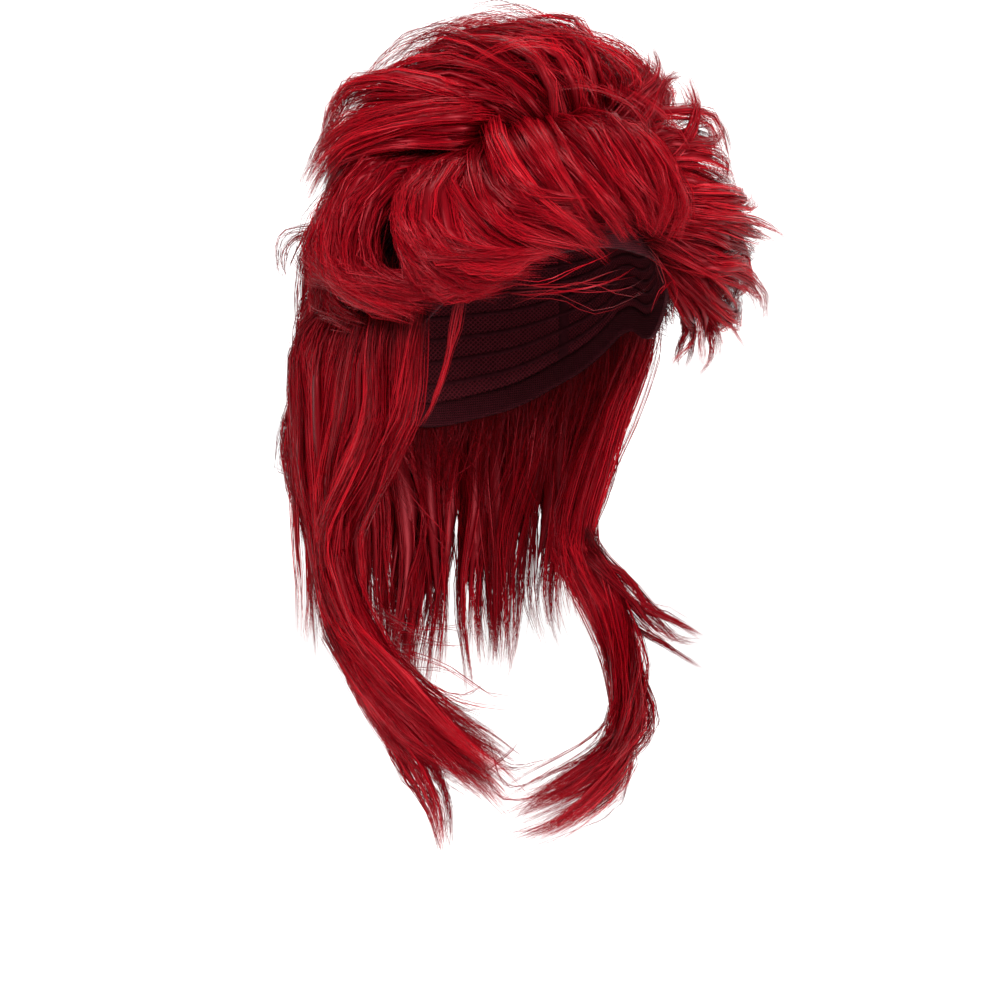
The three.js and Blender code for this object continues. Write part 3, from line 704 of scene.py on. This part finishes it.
def coreTubes(core, tubeEnd=0.82, sides=6):
    # the middle of each clump, a dark six-sided tube that closes at both ends
    curves, across, off, width, thick, depth, fromRoot = core
    number, sections = curves.shape[:2]
    grow = np.linspace(0, 1, sections)
    shrink = np.interp(grow, [0, 0.12, tubeEnd - 0.3, tubeEnd, 1], [0.02, 1, 0.9, 0.02, 0.02])
    turn = np.arange(sides) * 2 * np.pi / sides
    widths, thicks = width * shrink, thick * shrink
    corners = (
        curves[:, :, None]
        + across[:, :, None] * (widths[..., None] * np.cos(turn))[..., None]
        + off[:, :, None] * (thicks[..., None] * np.sin(turn))[..., None]
    )
    used = int(np.searchsorted(grow, tubeEnd)) + 1
    corners = keepOffHead(corners[:, :used], 0.0)
    index = np.arange(number * used * sides).reshape(number, used, sides)
    beside = np.roll(index, -1, 2)
    faces = np.stack([index[:, :-1], beside[:, :-1], beside[:, 1:], index[:, 1:]], -1)
    # painted shade: the tubes are dark, and lighter the further out their clump lies; every other face is a
    # little lighter
    toneAndShade = 0.16 + 0.1 * depth[:, None, None] + 0.1 * (np.arange(sides) % 2)
    fromRoot = np.broadcast_to(fromRoot[:used, None], index.shape)
    place = np.stack([np.broadcast_to(toneAndShade, index.shape), fromRoot], -1)
    return corners.reshape(-1, 3), faces.reshape(-1, 4), place.reshape(-1, 2)


def joinedMesh(name, parts):
    offsets = np.cumsum([0] + [len(part[0]) for part in parts])
    corners = np.concatenate([part[0] for part in parts])
    faces = np.concatenate([part[1] + start for part, start in zip(parts, offsets)])
    places = np.concatenate([part[2] for part in parts])
    mesh = bpy.data.meshes.new(name)
    mesh.vertices.add(len(corners))
    mesh.vertices.foreach_set("co", corners.astype(np.float32).ravel())
    mesh.loops.add(faces.size)
    mesh.loops.foreach_set("vertex_index", faces.astype(np.int32).ravel())
    mesh.polygons.add(len(faces))
    mesh.polygons.foreach_set("loop_start", np.arange(0, faces.size, 4, dtype=np.int32))
    mesh.polygons.foreach_set("use_smooth", np.ones(len(faces), bool))
    mesh.update(calc_edges=True)
    layer = mesh.uv_layers.new(name="OFBake")
    layer.uv.foreach_set("vector", places[faces.ravel()].astype(np.float32).ravel())
    return mesh


def newMaterial(name, settings):
    material = bpy.data.materials.new(name)
    material.use_nodes = True
    shader = material.node_tree.nodes["Principled BSDF"]
    for socket, value in settings.items():
        shader.inputs[socket].default_value = value
    return material, material.node_tree, shader


def ramp(tree, stops):
    node = tree.nodes.new("ShaderNodeValToRGB")
    elements = node.color_ramp.elements
    while len(elements) < len(stops):
        elements.new(0.5)
    for element, (place, colour) in zip(elements, stops):
        element.position = place
        element.color = (*colour, 1)
    return node


def mapped(tree, value, limits):
    # limits: from, up to, and the two values there
    node = tree.nodes.new("ShaderNodeMapRange")
    for socket, limit in zip(("From Min", "From Max", "To Min", "To Max"), limits):
        node.inputs[socket].default_value = limit
    tree.links.new(value, node.inputs["Value"])
    return node.outputs["Result"]


def multiplied(tree, first, second, share=1):
    node = tree.nodes.new("ShaderNodeMix")
    node.data_type = "RGBA"
    node.blend_type = "MULTIPLY"
    node.inputs["Factor"].default_value = share
    tree.links.new(first, node.inputs["A"])
    tree.links.new(second, node.inputs["B"])
    return node.outputs["Result"]


hairFinish = {
    # the hair's red from dark to light, reached by random variation and by painted shade
    "toneAndShadeColours": [
        (0.0, (0.03, 0.0003, 0.0012)),
        (0.35, (0.12, 0.0006, 0.003)),
        (0.65, (0.26, 0.0014, 0.006)),
        (1.0, (0.5, 0.008, 0.015)),
    ],
    "rootShade": [(0.0, (0.12, 0.12, 0.12)), (0.25, (0.7, 0.7, 0.7)), (0.45, (1, 1, 1))],
    "roughness": (0, 0.35, 0.75, 0.33),  # from the root on
    "shader": {
        "IOR": 1.5,
        "Specular IOR Level": 0.38,
        "Specular Tint": (1, 0.14, 0.17, 1),
        "Anisotropic": 0.7,
    },
}


def makeHairMaterial():
    material, tree, shader = newMaterial("hair_fibre", hairFinish["shader"])
    nodes, links = tree.nodes, tree.links
    place = nodes.new("ShaderNodeUVMap")
    place.uv_map = "OFBake"
    split = nodes.new("ShaderNodeSeparateXYZ")
    links.new(place.outputs["UV"], split.inputs[0])
    toneAndShade = ramp(tree, hairFinish["toneAndShadeColours"])
    links.new(split.outputs["X"], toneAndShade.inputs["Fac"])
    shade = ramp(tree, hairFinish["rootShade"])
    links.new(split.outputs["Y"], shade.inputs["Fac"])
    links.new(multiplied(tree, toneAndShade.outputs["Color"], shade.outputs["Color"]), shader.inputs["Base Color"])
    links.new(mapped(tree, split.outputs["Y"], hairFinish["roughness"]), shader.inputs["Roughness"])
    tangent = nodes.new("ShaderNodeTangent")
    tangent.direction_type = "UV_MAP"
    tangent.uv_map = "OFBake"
    links.new(tangent.outputs["Tangent"], shader.inputs["Tangent"])
    return material


hairMaterial = makeHairMaterial()


def addPiece(name, mesh, *materials):
    piece = bpy.data.objects.new(name, mesh)
    bpy.context.scene.collection.objects.link(piece)
    for material in materials:
        mesh.materials.append(material)
    return piece


allTriangles = 0
for name, hairPiece in hairPieces.items():
    rng = np.random.default_rng(hairPiece["seed"])
    parts = []
    for fan in hairPiece["fans"]:
        strands, core = growFan(fan, rng)
        parts.append(ribbons(strands))
        if fan.get("core", 1):
            parts.append(coreTubes(core))
    mesh = joinedMesh(name, parts)
    piece = addPiece(name, mesh, hairMaterial)
    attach(piece, "root")
    if hairPiece["node"]:
        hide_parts(hairPiece["node"])
    allTriangles += len(mesh.polygons) * 2
    print(name, len(mesh.polygons) * 2, "triangles")

underMesh = joinedMesh("under_hair", [ribbons(growUnderHair(np.random.default_rng(21)))])
underHair = addPiece("under_hair", underMesh, hairMaterial)
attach(underHair, "root")
allTriangles += len(underMesh.polygons) * 2
print("under hair:", len(underMesh.polygons) * 2, "triangles, hair in all:", allTriangles)

# The net cap in five panels, its seam tapes and weft rows, and the elastic band
capSize = {
    "netWall": 0.0011,
    "bandWall": 0.0022,
    "bandHeight": 0.013,
    "seatGap": 0.0003,
    "crownSeam": 50,  # degrees up
    "tapeWidth": 0.006,
    "tapeWall": 0.0005,
    "wefts": 11,  # rows sewn to the net
    "weftSpan": 1.3,  # degrees up
    "seamOff": 0.0006,  # off the head
    "ringOff": 0.0005,
    "weftOff": 0.0004,
    "netOff": 0.0015,  # from the head to the net's middle
    "bend": 0.085,  # radius round the head, to lay the weave flat
    "rise": 0.095,  # and up over it
}
capPanels = {"cap_front": (-48, 48), "cap_left": (48, 128), "cap_back": (128, 232), "cap_right": (-128, -48)}


def degreesUp(bearing, elevation, length):
    return math.degrees(length / float(skullRadius(headingOf(bearing, elevation), 0)))


def bandTop(bearing):
    low = float(edgeElevation(bearing))
    return low + degreesUp(bearing, low, capSize["bandHeight"])


def capBottom(bearing):
    return bandTop(bearing) + degreesUp(bearing, bandTop(bearing), capSize["seatGap"])


def meshFrom(bm, name):
    mesh = bpy.data.meshes.new(name)
    bm.to_mesh(mesh)
    bm.free()
    return mesh


def walled(bm, name, wall):
    # turns a sheet's faces outward and gives it a wall
    bmesh.ops.recalc_face_normals(bm, faces=bm.faces[:])
    outward = sum(face.normal.dot(face.calc_center_median() - Vector(middle)) for face in bm.faces)
    if outward < 0:
        bmesh.ops.reverse_faces(bm, faces=bm.faces[:])
    bmesh.ops.solidify(bm, geom=bm.faces[:], thickness=wall)
    return meshFrom(bm, name)


def headSheet(name, bearings, lowAt, highAt, offset, wall, columns, rows, closed=False):
    # a sheet laid on the head between two lines, with its flat size in metres as its UV map
    bm = bmesh.new()
    bmesh.ops.create_grid(bm, x_segments=columns, y_segments=rows, size=0.5)
    flat = {}
    for vert in bm.verts:
        across, up = vert.co.x + 0.5, vert.co.y + 0.5
        bearing = bearings[0] + (bearings[1] - bearings[0]) * across
        low, high = lowAt(bearing), highAt(bearing)
        elevation = low + (high - low) * up
        heading = headingOf(bearing, elevation)
        vert.co = Vector(middle + heading * skullRadius(heading, offset))
        turned, risen = math.radians(bearing), math.radians(elevation)
        flat[vert.index] = (turned * capSize["bend"], risen * capSize["rise"])
    layer = bm.loops.layers.uv.new("Weave")
    for face in bm.faces:
        face.smooth = True
        for loop in face.loops:
            loop[layer].uv = flat[loop.vert.index]
    if closed:
        bmesh.ops.remove_doubles(bm, verts=bm.verts[:], dist=1e-5)
    return walled(bm, name, wall)


def crownDisc(name):
    bm = bmesh.new()
    bmesh.ops.create_uvsphere(bm, u_segments=72, v_segments=72, radius=1)
    lowest = math.sin(math.radians(capSize["crownSeam"] - 0.1))
    low = [vert for vert in bm.verts if vert.co.z < lowest]
    bmesh.ops.delete(bm, geom=low, context="VERTS")
    layer = bm.loops.layers.uv.new("Weave")
    for vert in bm.verts:
        heading = np.array(vert.co.normalized())
        vert.co = Vector(middle + heading * skullRadius(heading, capSize["netOff"]))
    for face in bm.faces:
        face.smooth = True
        for loop in face.loops:
            loop[layer].uv = (loop.vert.co.x, loop.vert.co.y)
    return walled(bm, name, capSize["netWall"])


def weaveGroup():
    # crossing threads at a cell size: a mask of the threads, and their height
    group = bpy.data.node_groups.new("crossed_threads", "ShaderNodeTree")
    group.interface.new_socket("Place", in_out="INPUT", socket_type="NodeSocketVector")
    numbers = {"Threads per metre": "INPUT", "Slant": "INPUT", "Mask": "OUTPUT", "Height": "OUTPUT"}
    for label, side in numbers.items():
        group.interface.new_socket(label, in_out=side, socket_type="NodeSocketFloat")
    nodes, links = group.nodes, group.links
    inside, outside = nodes.new("NodeGroupInput"), nodes.new("NodeGroupOutput")
    turned = nodes.new("ShaderNodeVectorRotate")
    turned.rotation_type = "Z_AXIS"
    links.new(inside.outputs["Place"], turned.inputs["Vector"])
    links.new(inside.outputs["Slant"], turned.inputs["Angle"])
    scaled = nodes.new("ShaderNodeVectorMath")
    scaled.operation = "SCALE"
    links.new(turned.outputs["Vector"], scaled.inputs[0])
    links.new(inside.outputs["Threads per metre"], scaled.inputs["Scale"])
    split = nodes.new("ShaderNodeSeparateXYZ")
    links.new(scaled.outputs["Vector"], split.inputs[0])
    highest = nodes.new("ShaderNodeMath")
    highest.operation = "MAXIMUM"
    for k, axis in enumerate(("X", "Y")):
        wave = nodes.new("ShaderNodeMath")
        wave.operation = "SINE"
        links.new(split.outputs[axis], wave.inputs[0])
        links.new(wave.outputs[0], highest.inputs[k])
    links.new(highest.outputs[0], outside.inputs["Height"])
    links.new(mapped(group, highest.outputs[0], (0.35, 0.75, 0, 1)), outside.inputs["Mask"])
    return group


crossedThreads = weaveGroup()
clothFinish = {
    "net": {"threads": 3600, "slant": 0.785, "thread": (0.075, 0.006, 0.011), "gap": (0.02, 0.0008, 0.002)},
    "tape": {"threads": 9000, "slant": 0.0, "thread": (0.05, 0.004, 0.008), "gap": (0.02, 0.002, 0.004)},
    "elastic": {"threads": 5200, "slant": 0.0, "thread": (0.05, 0.004, 0.008), "gap": (0.014, 0.001, 0.002)},
}


def clothMaterial(name, finish):
    settings = {"Roughness": 0.9, "Specular IOR Level": 0.15, "Specular Tint": (1, 0.6, 0.6, 1)}
    material, tree, shader = newMaterial(name, settings)
    nodes, links = tree.nodes, tree.links
    spot = nodes.new("ShaderNodeUVMap")
    spot.uv_map = "Weave"
    weave = nodes.new("ShaderNodeGroup")
    weave.node_tree = crossedThreads
    weave.inputs["Threads per metre"].default_value = finish["threads"]
    weave.inputs["Slant"].default_value = finish["slant"]
    links.new(spot.outputs["UV"], weave.inputs["Place"])
    mottle = nodes.new("ShaderNodeTexNoise")
    mottle.inputs["Scale"].default_value = 90
    where = nodes.new("ShaderNodeTexCoord")
    links.new(where.outputs["Object"], mottle.inputs["Vector"])
    colours = ramp(tree, [(0.0, finish["gap"]), (1.0, finish["thread"])])
    links.new(weave.outputs["Mask"], colours.inputs["Fac"])
    mottled = multiplied(tree, colours.outputs["Color"], mottle.outputs["Fac"], 0.35)
    links.new(mottled, shader.inputs["Base Color"])
    bump = nodes.new("ShaderNodeBump")
    bump.inputs["Strength"].default_value = 0.6
    bump.inputs["Distance"].default_value = 0.0004
    links.new(weave.outputs["Height"], bump.inputs["Height"])
    links.new(bump.outputs["Normal"], shader.inputs["Normal"])
    return material


netMaterial = clothMaterial("stretch_net", clothFinish["net"])
tapeMaterial = clothMaterial("seam_tape", clothFinish["tape"])
elasticMaterial = clothMaterial("woven_elastic", clothFinish["elastic"])


def keep(name, mesh, material, slot, *nodes):
    piece = addPiece(name, mesh, material)
    print(name, sum(len(face.vertices) - 2 for face in mesh.polygons), "triangles")
    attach(piece, "root")
    if nodes:
        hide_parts(*nodes)
    return piece


def flatLine(elevation):
    return lambda bearing: elevation


for node, bearings in capPanels.items():
    top = flatLine(capSize["crownSeam"])
    panel = headSheet(node + "_net", bearings, capBottom, top, capSize["netOff"], capSize["netWall"], 24, 20)
    keep(node + "_net", panel, netMaterial, "cap_net", node)
keep("cap_crown_net", crownDisc("cap_crown_net"), netMaterial, "cap_net", "cap_crown")

wall = capSize["bandWall"]
band = headSheet("elastic_band", (-180, 180), edgeElevation, bandTop, wall, wall, 144, 6, True)
keep("elastic_band", band, elasticMaterial, "edge_elastic", "edge_band")


def makeTapes():
    # tapes over the seams and the weft rows, on the inside of the net
    wall, half = capSize["tapeWall"], capSize["tapeWidth"] / 2
    seam, pieces = capSize["crownSeam"], []
    for bearing in (-128, -48, 48, 128):
        turn = math.degrees(half / capSize["bend"])
        span = (bearing - turn, bearing + turn)
        top = flatLine(seam + 2)
        pieces.append(headSheet("seam", span, capBottom, top, capSize["seamOff"], wall, 3, 24))
    span = math.degrees(half / capSize["rise"])
    low, high = flatLine(seam - span), flatLine(seam + span)
    pieces.append(headSheet("seam", (-180, 180), low, high, capSize["ringOff"], wall, 96, 3, True))
    for row in range(capSize["wefts"]):
        share = (row + 0.6) / capSize["wefts"]

        def lower(bearing, share=share):
            return capBottom(bearing) + (seam - span - capBottom(bearing)) * share

        def upper(bearing, share=share):
            return lower(bearing) + capSize["weftSpan"]

        pieces.append(headSheet("weft", (-180, 180), lower, upper, capSize["weftOff"], wall, 96, 2, True))
    bm = bmesh.new()
    for mesh in pieces:
        bm.from_mesh(mesh)
        bpy.data.meshes.remove(mesh)
    return meshFrom(bm, "seam_tapes")


keep("seam_tapes", makeTapes(), tapeMaterial, "cap_net")
print("cap and band dressed")

# Camera, floor and light
cameraPlace = {
    "turn": 31, "rise": 3, "distance": 2.0, "aimRight": -0.006, "aimUp": -0.2005,
    "lens": 133.92, "sensor": 36,
}


def makeCamera():
    turn, rise = math.radians(cameraPlace["turn"]), math.radians(cameraPlace["rise"])
    right = Vector((math.cos(turn), -math.sin(turn), 0))
    back = Vector((-math.sin(turn) * math.cos(rise), -math.cos(turn) * math.cos(rise), math.sin(rise)))
    aim = right * cameraPlace["aimRight"] + Vector((0, 0, cameraPlace["aimUp"]))
    data = bpy.data.cameras.new("camera")
    data.lens, data.sensor_width = cameraPlace["lens"], cameraPlace["sensor"]
    camera = bpy.data.objects.new("camera", data)
    camera.location = aim + back * cameraPlace["distance"]
    camera.rotation_euler = back.to_track_quat("Z", "Y").to_euler()
    bpy.context.scene.collection.objects.link(camera)
    bpy.context.scene.camera = camera


makeCamera()

paperFinish = {
    "Base Color": (0.8, 0.8, 0.8, 1),
    "Roughness": 0.9,
    "Emission Color": (1, 1, 1, 1),
}
# glow: how strong the paper's own light is, from one distance to another
stageSize = {
    "floorLevel": -0.47, "flat": 3.6, "bend": 0.9, "bendSteps": 8, "wall": 0.6, "sides": 96,
    "glow": (1.4, 4.2, 0.32, 0.6),
}


def makeFloor():
    # a round floor whose rim curves up into a low wall, so it has no horizon from any side
    level, flat, bend = stageSize["floorLevel"], stageSize["flat"], stageSize["bend"]
    bm = bmesh.new()
    bmesh.ops.create_circle(bm, cap_ends=True, segments=stageSize["sides"], radius=flat)
    bmesh.ops.translate(bm, verts=bm.verts[:], vec=(0, 0, level))
    rim = [edge for edge in bm.edges if edge.is_boundary]
    for turn in range(1, stageSize["bendSteps"] + 1):
        angle = math.radians(90 * turn / stageSize["bendSteps"])
        grown = bmesh.ops.extrude_edge_only(bm, edges=rim)["geom"]
        rim = [item for item in grown if isinstance(item, bmesh.types.BMEdge)]
        ring = [item for item in grown if isinstance(item, bmesh.types.BMVert)]
        radius = flat + bend * math.sin(angle)
        for vert in ring:
            size = math.hypot(vert.co.x, vert.co.y)
            vert.co.x *= radius / size
            vert.co.y *= radius / size
            vert.co.z = level + bend * (1 - math.cos(angle))
    grown = bmesh.ops.extrude_edge_only(bm, edges=rim)["geom"]
    ring = [item for item in grown if isinstance(item, bmesh.types.BMVert)]
    bmesh.ops.translate(bm, verts=ring, vec=(0, 0, stageSize["wall"]))
    bmesh.ops.recalc_face_normals(bm, faces=bm.faces[:])
    for face in bm.faces:
        face.smooth = True
    material, tree, shader = newMaterial("floor_paper", paperFinish)
    nodes, links = tree.nodes, tree.links
    where = nodes.new("ShaderNodeTexCoord")
    far = nodes.new("ShaderNodeVectorMath")
    far.operation = "LENGTH"
    links.new(where.outputs["Object"], far.inputs[0])
    links.new(mapped(tree, far.outputs["Value"], stageSize["glow"]), shader.inputs["Emission Strength"])
    return addPiece("floor", meshFrom(bm, "floor"), material)


makeFloor()

# right and back are measured from the camera's own line of sight
lights = [
    {"name": "key", "right": -0.75, "back": 1.6, "up": 0.8, "size": 0.7, "power": 36},
    {"name": "side", "right": 1.3, "back": 1.2, "up": 0.5, "size": 0.8, "power": 37},
    {"name": "top", "right": 0.1, "back": 0.1, "up": 1.6, "size": 1.0, "power": 16},
    {"name": "rim", "right": 0.5, "back": -1.5, "up": 1.2, "size": 1.4, "power": 14},
]
viewTurn = math.radians(cameraPlace["turn"])
toRight = Vector((math.cos(viewTurn), -math.sin(viewTurn), 0))
toBack = Vector((-math.sin(viewTurn), -math.cos(viewTurn), 0))
for light in lights:
    data = bpy.data.lights.new(light["name"], "AREA")
    data.energy = light["power"]
    data.shape = "DISK"
    data.size = light["size"]
    lamp = bpy.data.objects.new(light["name"], data)
    lamp.location = toRight * light["right"] + toBack * light["back"] + Vector((0, 0, light["up"]))
    lamp.rotation_euler = (lamp.location - Vector((0, 0, -0.15))).to_track_quat("Z", "Y").to_euler()
    bpy.context.scene.collection.objects.link(lamp)

world = bpy.data.worlds.new("studio")
world.use_nodes = True
world.node_tree.nodes["Background"].inputs["Color"].default_value = (1, 1, 1, 1)
world.node_tree.nodes["Background"].inputs["Strength"].default_value = 0.4
bpy.context.scene.world = world
bpy.context.scene.view_settings.view_transform = "Standard"
